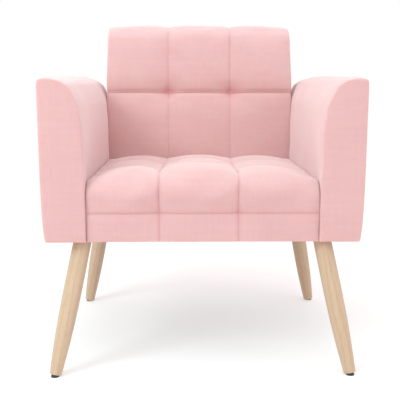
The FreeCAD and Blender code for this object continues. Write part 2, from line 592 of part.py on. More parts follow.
# ---------------------------------------------------------------- legs: turned, gently swelling, tapering to the foot
plates, bolts, screws, nails = [], [], [], []
for end in ("front", "rear"):
    top_y, foot_y, run = LEGS[end]
    for side, word in ((1, "right"), (-1, "left")):
        tag = end + "_" + word
        direction = (run.x * side, run.y, run.z)
        turn = FreeCAD.Rotation(V(0, 0, 1), V(*direction))
        body = new_body("leg_blank_" + tag)
        rings = []
        for i, (share, radius) in enumerate(((0.0, d.leg_radius_foot), (0.16, d.leg_radius_low), (0.36, d.leg_radius_mid),
                                             (0.64, d.leg_radius_swell), (0.93, d.leg_radius_top), (1.06, d.leg_radius_top - 0.15))):
            ring = sketch(body, "ring_%s_%d" % (tag, i), "XY_Plane")
            ring.addGeometry(Part.Circle(V(0, 0, 0), V(0, 0, 1), num(radius)), False)
            ring.addConstraint(Sketcher.Constraint("Coincident", 0, 3, -1, 1))
            k = ring.addConstraint(Sketcher.Constraint("Radius", 0, num(radius)))
            ring.renameConstraint(k, "size")
            ring.setExpression("Constraints.size", radius.text)
            ring.AttachmentOffset = FreeCAD.Placement(V(0, 0, share * num(d.leg_length)), FreeCAD.Rotation())
            ring.setExpression("AttachmentOffset.Base.z", (d.leg_length * share).text)
            rings.append(ring)
        doc.recompute()
        loft = body.newObject("PartDesign::AdditiveLoft", "leg_turning_" + tag)
        loft.Profile = rings[0]
        loft.Sections = rings[1:]
        loft.Ruled = False
        doc.recompute()
        x, y, z = on_axis(end, d.leg_end_z)
        put(body, x * side, y, z, turn)
        doc.recompute()
        trim = doc.addObject("Part::Box", "leg_trim_" + tag)
        trim.Length, trim.Width, trim.Height = 200, 200, 60
        tx, ty, tz = on_axis(end, d.leg_top_z)
        put(trim, tx * side - 100.0, ty - 100.0, d.leg_top_z)
        bx, by, bz = on_axis(end, d.leg_top_z - 42.0)
        pilot = rod("leg_pilot_" + tag, d.bolt_radius, Q(60.0), bx * side, by, bz, direction)
        gx, gy, gz = on_axis(end, d.leg_end_z - 1.0)
        pin_hole = rod("pin_hole_" + tag, Q(1.5), Q(17.0), gx * side, gy, gz, direction)
        node(cut("leg_" + tag, body, [trim, pilot, pin_hole]))
        # hanger bolt: wood thread in the leg, machine thread up through the plate into the bearer
        bolts.append(rod("hanger_bolt_" + tag, d.bolt_radius, Q(66.0), bx * side, by, bz, direction))
        # leg plate: flat steel square with an angled clearance for the bolt and four screw holes
        plate = timber("plate_blank_" + tag, d.leg_top_x * side - half_plate, d.leg_top_x * side + half_plate,
                       top_y - half_plate, top_y + half_plate, d.frame_z - d.plate_gauge, d.frame_z)
        px, py, pz = on_axis(end, d.leg_top_z - 5.0)
        holes = [rod("plate_bolt_hole_" + tag, d.bolt_radius, Q(20.0), px * side, py, pz, direction)]
        k = 0
        for i in (1, -1):
            for j in (1, -1):
                k += 1
                sx, sy = d.leg_top_x * side + d.plate_screw_offset * i, top_y + d.plate_screw_offset * j
                holes.append(rod("plate_hole_%s_%d" % (tag, k), d.screw_radius, Q(10.0), sx, sy, d.frame_z - 5.0, (0, 0, 1)))
                # screw reaching from the underside of the plate into the bearer
                shank = rod("plate_screw_%s_%d" % (tag, k), d.screw_radius, Q(15.0) + d.plate_gauge, sx, sy, d.frame_z - d.plate_gauge, (0, 0, 1))
                screws.append(shank)
        plates.append(cut("leg_plate_" + tag, plate, holes))
        # glide: moulded pad following the leg axis, sole cut level with the floor
        sx, sy, sz = on_axis(end, -2.8)
        span = (num(d.leg_end_z) + 2.8) / run.z
        puck = rod("glide_blank_" + tag, d.glide_radius, Q(span), sx * side, sy, sz, direction)
        floor = doc.addObject("Part::Box", "floor_" + tag)
        floor.Length, floor.Width, floor.Height = 100, 100, 40
        put(floor, sx * side - 50.0, sy - 50.0, Q(-40.0))
        nx, ny, nz = on_axis(end, 2.5)
        seat_hole = rod("glide_hole_" + tag, Q(1.5), Q(10.0), nx * side, ny, nz, direction)
        node(cut("glide_" + tag, puck, [floor, seat_hole]))
        nails.append(rod("glide_nail_" + tag, Q(1.5), Q(18.0), nx * side, ny, nz, direction))
node(group("leg_plates", plates))
node(group("leg_hanger_bolts", bolts))
node(group("leg_plate_screws", screws))
node(group("glide_nails", nails))

# ---------------------------------------------------------------- bolts holding the back between the arms
body_bolts, washers, nuts = [], [], []
for name, z, head_x in (("low", bolt_low_z, rim), ("high", bolt_high_z, rim)):
    y = lean(z, wood_mid)
    for side, s in ((1, "r"), (-1, "l")):
        # hex nut inside the stile's inner face, washer beneath it, round bolt through everything
        body_bolts.append(rod("back_bolt_%s_%s" % (name, s), d.bolt_radius, rim - stile_in + 12.0, (stile_in - 12.0) * side, y, z, (side, 0, 0)))
        ring = rod("washer_blank_%s_%s" % (name, s), Q(11.0), Q(1.6), (stile_in - 1.6) * side, y, z, (side, 0, 0))
        hole = rod("washer_hole_%s_%s" % (name, s), d.bolt_radius, Q(6.0), (stile_in - 4.0) * side, y, z, (side, 0, 0))
        washers.append(cut("washer_%s_%s" % (name, s), ring, [hole]))
        nut = doc.addObject("Part::Prism", "nut_blank_%s_%s" % (name, s))
        nut.Polygon, nut.Circumradius, nut.Height = 6, 7.5, 6.5
        put(nut, (stile_in - 8.1) * side, y, z, FreeCAD.Rotation(V(0, 0, 1), V(side, 0, 0)))
        hole = rod("nut_hole_%s_%s" % (name, s), d.bolt_radius, Q(16.0), (stile_in - 14.0) * side, y, z, (side, 0, 0))
        nuts.append(cut("nut_%s_%s" % (name, s), nut, [hole]))
node(group("back_bolts", body_bolts))
node(group("back_bolt_washers", washers))
node(group("back_bolt_nuts", nuts))

# ---------------------------------------------------------------- check every feature, then write the pieces
doc.recompute()
bad = []
for o in doc.Objects:
    if any(word in o.State for word in ("Invalid", "Error")):
        bad.append("%s: %s" % (o.Label, o.State))
for o in NODES:
    shape = o.Shape
    if shape.isNull() or not shape.isValid() or shape.Volume <= 0 or not shape.Solids:
        bad.append("%s: bad shape" % o.Label)
if bad:
    raise SystemExit("\n".join(bad))

os.makedirs("parts", exist_ok=True)
total = None
for o in NODES:
    box = o.Shape.BoundBox
    total = FreeCAD.BoundBox(box) if total is None else total
    total.add(box)
    o.Shape.exportStep(os.path.join("parts", o.Label + ".step"))
    print("%-26s solids %2d  volume %9.0f  x %7.1f %7.1f  y %7.1f %7.1f  z %6.1f %6.1f" % (
        o.Label, len(o.Shape.Solids), o.Shape.Volume, box.XMin, box.XMax, box.YMin, box.YMax, box.ZMin, box.ZMax))
print("nodes", len(NODES), "overall", [round(t, 3) for t in (total.XMin, total.XMax, total.YMin, total.YMax, total.ZMin, total.ZMax)])
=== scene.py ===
import math
import bpy
import numpy as np
from mathutils import Matrix, Vector


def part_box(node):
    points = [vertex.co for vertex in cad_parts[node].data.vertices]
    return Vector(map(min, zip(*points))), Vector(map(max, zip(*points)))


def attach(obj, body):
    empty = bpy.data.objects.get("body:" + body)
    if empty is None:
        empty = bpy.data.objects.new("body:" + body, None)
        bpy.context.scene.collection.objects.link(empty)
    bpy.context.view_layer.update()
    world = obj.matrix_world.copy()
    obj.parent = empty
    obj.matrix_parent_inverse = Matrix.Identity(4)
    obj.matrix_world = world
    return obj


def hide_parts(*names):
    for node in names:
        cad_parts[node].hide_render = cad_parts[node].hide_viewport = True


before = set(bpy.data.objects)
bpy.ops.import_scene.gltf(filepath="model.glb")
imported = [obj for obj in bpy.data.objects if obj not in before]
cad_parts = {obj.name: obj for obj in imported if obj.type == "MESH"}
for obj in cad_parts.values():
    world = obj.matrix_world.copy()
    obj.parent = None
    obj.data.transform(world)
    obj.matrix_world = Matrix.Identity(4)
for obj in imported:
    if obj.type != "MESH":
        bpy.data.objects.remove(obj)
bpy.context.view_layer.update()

SCENE = bpy.context.scene
RNG = np.random.default_rng(7)

# ------------------------------------------------------------------ reference planes, read from the frame
ARM_LO, ARM_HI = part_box("arm_cover_right")
ARM_FRONT_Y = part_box("arm_front_cover_right")[0].y
BASE_Z = ARM_LO.z
ARM_TOP_Z = ARM_HI.z
ARM_OUT_X = ARM_HI.x
ARM_IN_X = ARM_LO.x
SEAT_LO, SEAT_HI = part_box("seat_cover")
SEAT_FRONT_Y = SEAT_LO.y
SEAT_HALF = SEAT_HI.x
DUST_TOP_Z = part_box("dust_cover")[1].z
DUST_LO, DUST_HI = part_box("dust_cover")
PAD_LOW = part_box("seat_webbing_crosswise")[1].z + 0.0006
BEARER_FRONT_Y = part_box("bearer_front")[0].y
BACK_LO, BACK_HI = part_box("back_cover_front")
BACK_HALF = BACK_HI.x
BACK_TOP_Z = BACK_HI.z
SLOPE = 0.1918
STRETCH = math.sqrt(1 + SLOPE * SLOPE)
BACK_DEPTH = 0.103
LEAN_Y0 = BACK_LO.y - 0.3495 * SLOPE


def lean(z, n=0.0):
    """Depth position at height z of the plane n metres behind the face of the back."""
    return LEAN_Y0 + z * SLOPE + n * STRETCH


# ------------------------------------------------------------------ small numeric helpers
def smooth(a, b, x):
    t = np.clip((np.asarray(x, float) - a) / (b - a), 0, 1)
    return t * t * (3 - 2 * t)


def hash_noise(p, scale, seed=0):
    """Cheap smooth value noise in three dimensions, -1 to 1, the same on every run."""
    q = np.asarray(p, float) * scale + 137.13 * (seed + 1)
    f = np.floor(q).astype(np.int64)
    t = q - f
    t = t * t * (3 - 2 * t)
    out = np.zeros(len(q))
    for dx in (0, 1):
        for dy in (0, 1):
            for dz in (0, 1):
                n = (f[:, 0] + dx) * 73856093 ^ (f[:, 1] + dy) * 19349663 ^ (f[:, 2] + dz) * 83492791
                n = (n ^ (n >> 13)) * 1274126177 & 0x7FFFFFFF
                v = (n % 20011) / 20011.0 * 2 - 1
                w = (t[:, 0] if dx else 1 - t[:, 0]) * (t[:, 1] if dy else 1 - t[:, 1]) * (t[:, 2] if dz else 1 - t[:, 2])
                out += v * w
    return out


def disc(a, b):
    """Carries the unit square onto the unit disc, so square edges turn into evenly divided round ones."""
    big, length = np.maximum(np.abs(a), np.abs(b)), np.hypot(a, b)
    f = np.where(length > 1e-9, big / np.maximum(length, 1e-9), 1.0)
    return a * f, b * f


def lattice(nx, nt, nd):
    """The outside of a block of nx by nt by nd cells: lattice indices and outward-facing quads."""
    index, pts, faces = {}, [], []

    def vid(*key):
        if key not in index:
            index[key] = len(pts)
            pts.append(key)
        return index[key]

    for i in range(nx):
        for j in range(nt):
            faces.append((vid(i, j, nd), vid(i + 1, j, nd), vid(i + 1, j + 1, nd), vid(i, j + 1, nd)))
            faces.append((vid(i, j, 0), vid(i, j + 1, 0), vid(i + 1, j + 1, 0), vid(i + 1, j, 0)))
    for i in range(nx):
        for k in range(nd):
            faces.append((vid(i, 0, k), vid(i + 1, 0, k), vid(i + 1, 0, k + 1), vid(i, 0, k + 1)))
            faces.append((vid(i, nt, k), vid(i, nt, k + 1), vid(i + 1, nt, k + 1), vid(i + 1, nt, k)))
    for j in range(nt):
        for k in range(nd):
            faces.append((vid(0, j, k), vid(0, j, k + 1), vid(0, j + 1, k + 1), vid(0, j + 1, k)))
            faces.append((vid(nx, j, k), vid(nx, j + 1, k), vid(nx, j + 1, k + 1), vid(nx, j, k + 1)))
    return np.array(pts), faces


def cell(n, first=0.014, second=0.042):
    """Divisions of one quilt cell from 0 to 1, closer together beside the seams."""
    return np.concatenate([[0, first, second], np.linspace(0.085, 0.915, max(n - 5, 2)), [1 - second, 1 - first, 1]])


def build(name, verts, faces, material):
    mesh = bpy.data.meshes.new(name)
    mesh.from_pydata([tuple(v) for v in verts], [], [tuple(f) for f in faces])
    mesh.update()
    ob = bpy.data.objects.new(name, mesh)
    SCENE.collection.objects.link(ob)
    mesh.polygons.foreach_set("use_smooth", [True] * len(mesh.polygons))
    if material:
        mesh.materials.append(material)
    return ob


def coords(ob):
    co = np.zeros(len(ob.data.vertices) * 3)
    ob.data.vertices.foreach_get("co", co)
    return co.reshape(-1, 3)


def set_coords(ob, co):
    ob.data.vertices.foreach_set("co", np.asarray(co, float).ravel())
    ob.data.update()


def normals(ob):
    n = np.zeros(len(ob.data.vertices) * 3, np.float32)
    ob.data.vertices.foreach_get("normal", n)
    return n.reshape(-1, 3).astype(float)


def inflate(ob, pinned, pressure=4.0, slack=0.02, frames=20, stiffness=18.0, bending=2.0):
    """Cloth simulation of a sewn pad: seams and hidden faces are held, the fabric between them swells.
    Returns how far each point moved; the object itself keeps its shape."""
    group = ob.vertex_groups.new(name="held")
    group.add([int(i) for i in np.nonzero(pinned)[0]], 1.0, "REPLACE")
    mod = ob.modifiers.new("swell", "CLOTH")
    s = mod.settings
    s.quality = 6
    s.mass = 0.25
    s.air_damping = 4.0
    s.tension_stiffness = s.compression_stiffness = stiffness
    s.shear_stiffness = stiffness * 0.4
    s.bending_stiffness = bending
    s.tension_damping = s.compression_damping = 20.0
    s.shear_damping = 20.0
    s.bending_damping = 2.0
    s.vertex_group_mass = "held"
    s.pin_stiffness = 50.0
    s.use_pressure = True
    s.uniform_pressure_force = pressure
    s.shrink_min = -slack
    s.effector_weights.gravity = 0.0
    mod.collision_settings.use_collision = False
    mod.collision_settings.use_self_collision = False
    mod.point_cache.frame_start, mod.point_cache.frame_end = 1, frames
    before = coords(ob)
    for f in range(1, frames + 1):
        SCENE.frame_set(f)
    ev = ob.evaluated_get(bpy.context.evaluated_depsgraph_get())
    after = np.zeros(len(before) * 3)
    ev.data.vertices.foreach_get("co", after)
    ob.modifiers.remove(mod)
    ob.vertex_groups.remove(group)
    SCENE.frame_set(1)
    move = after.reshape(-1, 3) - before
    move[pinned] = 0
    return move


def relax(ob, values, rounds, fixed):
    """Averages a per-point quantity with its neighbours."""
    edges = np.array([e.vertices[:] for e in ob.data.edges])
    values = np.array(values, float)
    keep = values[fixed].copy()
    for _ in range(rounds):
        total = np.zeros_like(values)
        count = np.zeros(len(values))
        np.add.at(total, edges[:, 0], values[edges[:, 1]])
        np.add.at(total, edges[:, 1], values[edges[:, 0]])
        np.add.at(count, edges[:, 0], 1)
        np.add.at(count, edges[:, 1], 1)
        mean = total / np.maximum(count, 1)[:, None] if values.ndim == 2 else total / np.maximum(count, 1)
        values = values * 0.5 + mean * 0.5
        values[fixed] = keep
    return values


def subdivide(ob):
    mod = ob.modifiers.new("fine", "SUBSURF")
    mod.levels = mod.render_levels = 1
    mod.boundary_smooth = "PRESERVE_CORNERS"
    dg = bpy.context.evaluated_depsgraph_get()
    fine = bpy.data.meshes.new_from_object(ob.evaluated_get(dg), preserve_all_data_layers=True, depsgraph=dg)
    ob.modifiers.remove(mod)
    old = ob.data
    ob.data = fine
    bpy.data.meshes.remove(old)
    fine.polygons.foreach_set("use_smooth", [True] * len(fine.polygons))
    return ob


def crease(ob, points, value):
    """Keeps the edges that join these points crisp when the mesh is subdivided."""
    a = ob.data.attributes.get("crease_edge") or ob.data.attributes.new("crease_edge", "FLOAT", "EDGE")
    ends = np.zeros(len(ob.data.edges) * 2, np.int32)
    ob.data.edges.foreach_get("vertices", ends)
    ends = ends.reshape(-1, 2)
    old = np.zeros(len(ends), np.float32)
    a.data.foreach_get("value", old)
    both = points[ends[:, 0]] & points[ends[:, 1]]
    a.data.foreach_set("value", np.where(both, value, old).astype(np.float32))


def mark(ob, name, values):
    a = ob.data.attributes.get(name) or ob.data.attributes.new(name, "FLOAT", "POINT")
    a.data.foreach_set("value", np.asarray(values, np.float32))


# ------------------------------------------------------------------ materials
def new_material(name):
    m = bpy.data.materials.new(name)
    m.use_nodes = True
    nt = m.node_tree
    nt.nodes.clear()
    out = nt.nodes.new("ShaderNodeOutputMaterial")
    bsdf = nt.nodes.new("ShaderNodeBsdfPrincipled")
    nt.links.new(bsdf.outputs[0], out.inputs[0])
    return m, nt, bsdf


def node(nt, kind, **inputs):
    n = nt.nodes.new(kind)
    for k, v in inputs.items():
        if k in n.inputs:
            n.inputs[k].default_value = v
        else:
            setattr(n, k, v)
    return n


def ramp(nt, source, stops):
    r = nt.nodes.new("ShaderNodeValToRGB")
    while len(r.color_ramp.elements) > 1:
        r.color_ramp.elements.remove(r.color_ramp.elements[-1])
    for i, (pos, col) in enumerate(stops):
        e = r.color_ramp.elements[0] if i == 0 else r.color_ramp.elements.new(pos)
        e.position = pos
        e.color = (*col, 1) if len(col) == 3 else col
    nt.links.new(source, r.inputs[0])
    return r.outputs[0]


def mix(nt, factor, a, b, mode="MIX"):
    n = nt.nodes.new("ShaderNodeMix")
    n.data_type = "RGBA"
    n.blend_type = mode
    for slot, v in ((0, factor), (6, a), (7, b)):
        if hasattr(v, "is_output"):
            nt.links.new(v, n.inputs[slot])
        elif slot == 0:
            n.inputs[0].default_value = v
        else:
            n.inputs[slot].default_value = (*v, 1)
    return n.outputs[2]


def maths(nt, op, a, b=None):
    n = nt.nodes.new("ShaderNodeMath")
    n.operation = op
    for i, v in enumerate((a, b)):
        if v is None:
            continue
        if hasattr(v, "is_output"):
            nt.links.new(v, n.inputs[i])
        else:
            n.inputs[i].default_value = v
    return n.outputs[0]


def noise_node(nt, vector, scale, detail=4.0, rough=0.55):
    n = node(nt, "ShaderNodeTexNoise", Scale=scale, Detail=detail, Roughness=rough)
    nt.links.new(vector, n.inputs["Vector"])
    return n.outputs["Fac"]


FABRIC = (0.668, 0.392, 0.388)


def suede():
    """Pale pink microsuede: a short nap with soft brushed patches, darker and redder along the seam lines, with painted
    shade in the seam valleys, tuft dents and crevices between the pads.
    """
    m, nt, b = new_material("suede_pink")
    tc = nt.nodes.new("ShaderNodeTexCoord").outputs["Object"]
    brushed = noise_node(nt, tc, 11.0, 3.0, 0.5)
    patch = noise_node(nt, tc, 70.0, 5.0, 0.65)
    fibre = noise_node(nt, tc, 1500.0, 2.0, 0.7)
    seam_and_shade = nt.nodes.new("ShaderNodeAttribute")
    seam_and_shade.attribute_name = "seam_and_shade"
    light = tuple(min(1, c * 1.012) for c in FABRIC)
    dark = (FABRIC[0] * 0.992, FABRIC[1] * 0.978, FABRIC[2] * 0.978)
    c1 = ramp(nt, brushed, [(0.36, dark), (0.64, light)])
    c2 = ramp(nt, patch, [(0.30, (0.985, 0.975, 0.975)), (0.70, (1.0, 1.0, 1.0))])
    col = mix(nt, 1.0, c1, c2, "MULTIPLY")
    # faint slubs running across and up the cloth
    for stretch, seed in (((7.0, 7.0, 110.0), 0.0), ((150.0, 130.0, 8.0), 3.7)):
        mp = nt.nodes.new("ShaderNodeMapping")
        mp.inputs["Scale"].default_value = stretch
        mp.inputs["Location"].default_value = (seed, seed, seed)
        nt.links.new(tc, mp.inputs["Vector"])
        slub = noise_node(nt, mp.outputs[0], 1.0, 6.0, 0.78)
        col = mix(nt, 1.0, col, ramp(nt, slub, [(0.34, (0.974, 0.955, 0.955)), (0.64, (1.0, 1.0, 1.0))]), "MULTIPLY")
    c3 = ramp(nt, fibre, [(0.30, (0.93, 0.90, 0.90)), (0.68, (1.0, 1.0, 1.0))])
    col = mix(nt, 0.8, col, c3, "MULTIPLY")
    # painted shade: the seam attribute mixes in this darker, redder pink along the seam lines and in the valleys, dents
    # and crevices where shade falls
    seam_and_shade_colour = (FABRIC[0] * 0.84, FABRIC[1] * 0.58, FABRIC[2] * 0.60)
    col = mix(nt, seam_and_shade.outputs["Fac"], col, seam_and_shade_colour)
    nt.links.new(col, b.inputs["Base Color"])
    rough = ramp(nt, patch, [(0.3, (0.80,) * 3), (0.7, (0.93,) * 3)])
    nt.links.new(rough, b.inputs["Roughness"])
    b.inputs["Specular IOR Level"].default_value = 0.18
    b.inputs["Subsurface Weight"].default_value = 0.40
    b.inputs["Subsurface Radius"].default_value = (1.0, 0.28, 0.26)
    b.inputs["Subsurface Scale"].default_value = 0.012
    b.inputs["Sheen Weight"].default_value = 0.52
    b.inputs["Sheen Roughness"].default_value = 0.60
    b.inputs["Sheen Tint"].default_value = (1.0, 0.89, 0.89, 1)
    pile = noise_node(nt, tc, 620.0, 3.0, 0.6)
    h = maths(nt, "ADD", maths(nt, "MULTIPLY", pile, 0.6), maths(nt, "MULTIPLY", fibre, 0.4))
    h = maths(nt, "ADD", h, maths(nt, "MULTIPLY", patch, 1.1))
    bump = node(nt, "ShaderNodeBump", Strength=0.35, Distance=0.0009)
    nt.links.new(h, bump.inputs["Height"])
    nt.links.new(bump.outputs[0], b.inputs["Normal"])
    return m


def timber_material(name, axis, light, dark, scale=1.0, rough=0.5, coat=0.0):
    """Wood with its grain along an axis: fibre streaks, slow growth bands and pores, all stretched along the axis."""
    m, nt, b = new_material(name)
    tc = nt.nodes.new("ShaderNodeTexCoord").outputs["Object"]
    turn = Vector(axis).normalized().rotation_difference(Vector((0, 0, 1))).to_euler()
    mp = nt.nodes.new("ShaderNodeMapping")
    mp.inputs["Rotation"].default_value = turn
    nt.links.new(tc, mp.inputs["Vector"])
    st = nt.nodes.new("ShaderNodeMapping")
    st.inputs["Scale"].default_value = (1, 1, 0.030)
    nt.links.new(mp.outputs[0], st.inputs["Vector"])
    slow = nt.nodes.new("ShaderNodeMapping")
    slow.inputs["Scale"].default_value = (1, 1, 0.12)
    nt.links.new(mp.outputs[0], slow.inputs["Vector"])
    band = node(nt, "ShaderNodeTexWave", wave_type="BANDS", bands_direction="X", Scale=26.0 * scale, Distortion=5.5, Detail=3.0)
    band.inputs["Detail Scale"].default_value = 1.2
    nt.links.new(slow.outputs[0], band.inputs["Vector"])
    streak = noise_node(nt, st.outputs[0], 260.0 * scale, 6.0, 0.62)
    pores = noise_node(nt, st.outputs[0], 1500.0 * scale, 2.0, 0.5)
    tone = noise_node(nt, slow.outputs[0], 9.0 * scale, 2.0, 0.5)
    mid = tuple((a + c) / 2 for a, c in zip(light, dark))
    base = ramp(nt, band.outputs["Fac"], [(0.0, light), (0.62, tuple(a * 0.985 for a in light)), (1.0, mid)])
    col = mix(nt, maths(nt, "MULTIPLY", streak, 0.55), base, dark)
    col = mix(nt, 1.0, col, ramp(nt, tone, [(0.35, (0.95, 0.93, 0.90)), (0.65, (1.0, 1.0, 1.0))]), "MULTIPLY")
    col = mix(nt, 1.0, col, ramp(nt, pores, [(0.34, (0.86, 0.82, 0.76)), (0.46, (1.0, 1.0, 1.0))]), "MULTIPLY")
    nt.links.new(col, b.inputs["Base Color"])
    nt.links.new(ramp(nt, streak, [(0.3, (rough - 0.07,) * 3), (0.7, (rough + 0.1,) * 3)]), b.inputs["Roughness"])
    b.inputs["Coat Weight"].default_value = coat
    b.inputs["Coat Roughness"].default_value = 0.35
    bump = node(nt, "ShaderNodeBump", Strength=0.22, Distance=0.0005)
    nt.links.new(maths(nt, "ADD", streak, maths(nt, "MULTIPLY", pores, 0.5)), bump.inputs["Height"])
    nt.links.new(bump.outputs[0], b.inputs["Normal"])
    return m


def speckled(name, light, dark, scale, rough, metallic=0.0, bump_m=0.0003, stretch=(1, 1, 1), strength=0.3):
    m, nt, b = new_material(name)
    tc = nt.nodes.new("ShaderNodeTexCoord").outputs["Object"]
    mp = nt.nodes.new("ShaderNodeMapping")
    mp.inputs["Scale"].default_value = stretch
    nt.links.new(tc, mp.inputs["Vector"])
    fine = noise_node(nt, mp.outputs[0], scale, 4.0, 0.6)
    broad = noise_node(nt, mp.outputs[0], scale * 0.08, 3.0, 0.5)
    col = mix(nt, 0.5, ramp(nt, fine, [(0.3, dark), (0.7, light)]), ramp(nt, broad, [(0.3, dark), (0.7, light)]))
    nt.links.new(col, b.inputs["Base Color"])
    nt.links.new(ramp(nt, broad, [(0.3, (rough - 0.06,) * 3), (0.7, (rough + 0.08,) * 3)]), b.inputs["Roughness"])
    b.inputs["Metallic"].default_value = metallic
    bump = node(nt, "ShaderNodeBump", Strength=strength, Distance=bump_m)
    nt.links.new(fine, bump.inputs["Height"])
    nt.links.new(bump.outputs[0], b.inputs["Normal"])
    return m


def woven(name, light, dark, pitch, rough=0.85):
    """Plain weave from two crossed wave bands."""
    m, nt, b = new_material(name)
    tc = nt.nodes.new("ShaderNodeTexCoord").outputs["Object"]
    waves = []
    for d in ("X", "Y", "Z"):
        w = node(nt, "ShaderNodeTexWave", wave_type="BANDS", bands_direction=d, Scale=1.0 / pitch / 6.2832 * 2.0, Distortion=0.4, Detail=1.0)
        nt.links.new(tc, w.inputs["Vector"])
        waves.append(w.outputs["Fac"])
    weave = maths(nt, "MULTIPLY", maths(nt, "ADD", maths(nt, "ADD", waves[0], waves[1]), waves[2]), 0.3333)
    grime = noise_node(nt, tc, 40.0, 4.0, 0.6)
    col = mix(nt, 1.0, ramp(nt, weave, [(0.25, dark), (0.75, light)]), ramp(nt, grime, [(0.3, (0.88,) * 3), (0.7, (1, 1, 1))]), "MULTIPLY")
    nt.links.new(col, b.inputs["Base Color"])
    b.inputs["Roughness"].default_value = rough
    b.inputs["Sheen Weight"].default_value = 0.15
    bump = node(nt, "ShaderNodeBump", Strength=0.5, Distance=0.0004)
    nt.links.new(weave, bump.inputs["Height"])
    nt.links.new(bump.outputs[0], b.inputs["Normal"])
    return m


SUEDE = suede()
PINE = timber_material("pine_rail", (1, 0, 0), (0.62, 0.44, 0.25), (0.38, 0.22, 0.10), 0.8, 0.62)
PINE_UP = timber_material("pine_post", (0, 0.188, 0.982), (0.62, 0.44, 0.25), (0.38, 0.22, 0.10), 0.8, 0.62)
PINE_DEEP = timber_material("pine_side", (0, 1, 0), (0.60, 0.43, 0.25), (0.37, 0.22, 0.10), 0.8, 0.62)
BOARD = speckled("hardboard", (0.30, 0.17, 0.085), (0.20, 0.105, 0.05), 420.0, 0.75)
STEEL = speckled("zinc_steel", (0.62, 0.62, 0.60), (0.45, 0.45, 0.44), 300.0, 0.38, metallic=1.0, bump_m=0.0001)
PLASTIC = speckled("glide_plastic", (0.035, 0.033, 0.032), (0.018, 0.017, 0.017), 900.0, 0.45, bump_m=0.0001)
WEBBING = woven("elastic_webbing", (0.10, 0.10, 0.11), (0.035, 0.035, 0.04), 0.0024)
DUST = woven("dust_cloth", (0.030, 0.030, 0.031), (0.012, 0.012, 0.013), 0.0018, 0.9)

# ------------------------------------------------------------------ camera and light
CAM_YAW, CAM_PITCH = -0.0169, 0.1664
cam = bpy.data.cameras.new("view")
cam.lens, cam.sensor_width = 62.46, 36.0
cam.clip_start, cam.clip_end = 0.05, 60.0
eye = bpy.data.objects.new("view", cam)
eye.location = (-0.0316, -1.8123 + (ARM_FRONT_Y + 0.340), 0.6393)
eye.rotation_euler = (math.pi / 2 - CAM_PITCH, 0.0, CAM_YAW)
SCENE.collection.objects.link(eye)
SCENE.camera = eye


def area(name, place, target, size, power, color=(1, 1, 1), size_y=None):
    light = bpy.data.lights.new(name, "AREA")
    light.shape = "RECTANGLE"
    light.size, light.size_y = size, size_y or size
    light.energy, light.color = power, color
    ob = bpy.data.objects.new(name, light)
    ob.location = place
    ob.rotation_euler = (Vector(target) - Vector(place)).to_track_quat("-Z", "Y").to_euler()
    SCENE.collection.objects.link(ob)
    return ob


area("top_soft", (-0.2, -0.7, 3.0), (0, 0, 0.4), 2.2, 32, (0.66, 1.0, 0.99))
area("key_left", (-1.8, -1.7, 2.0), (0, 0.1, 0.5), 1.0, 38, (0.70, 1.0, 0.99))
area("fill_right", (2.5, -1.5, 1.6), (-0.2, 0, 0.5), 1.6, 15, (0.74, 1.0, 0.99))
world = bpy.data.worlds.new("studio")
world.use_nodes = True
world.node_tree.nodes["Background"].inputs[0].default_value = (1.0, 1.0, 1.0, 1)
world.node_tree.nodes["Background"].inputs[1].default_value = 1.0
SCENE.world = world
SCENE.view_settings.view_transform = "Standard"
SCENE.view_settings.look = "None"

floor_mat, fnt, fb = new_material("studio_floor")
fb.inputs["Base Color"].default_value = (0.575, 0.515, 0.512, 1)
fb.inputs["Roughness"].default_value = 0.9
fb.inputs["Specular IOR Level"].default_value = 0.0
fb.inputs["Emission Color"].default_value = (1.0, 1.0, 1.0, 1)
fb.inputs["Emission Strength"].default_value = 0.46


def studio_floor():
    """Level floor under an even white studio, curving up a little far behind the chair."""
    prof = [(-7.0, 0.0), (-3.0, 0.0), (0.0, 0.0), (4.0, 0.0)]
    for a in np.linspace(0, math.pi / 6, 8)[1:]:
        prof.append((4.0 + 2.5 * math.sin(a), 2.5 - 2.5 * math.cos(a)))
    xs = np.linspace(-8, 8, 9)
    verts = [(x, y, z) for y, z in prof for x in xs]
    faces = [(j * 9 + i, j * 9 + i + 1, (j + 1) * 9 + i + 1, (j + 1) * 9 + i) for j in range(len(prof) - 1) for i in range(8)]
    return build("floor_sweep", verts, faces, floor_mat)


studio_floor()


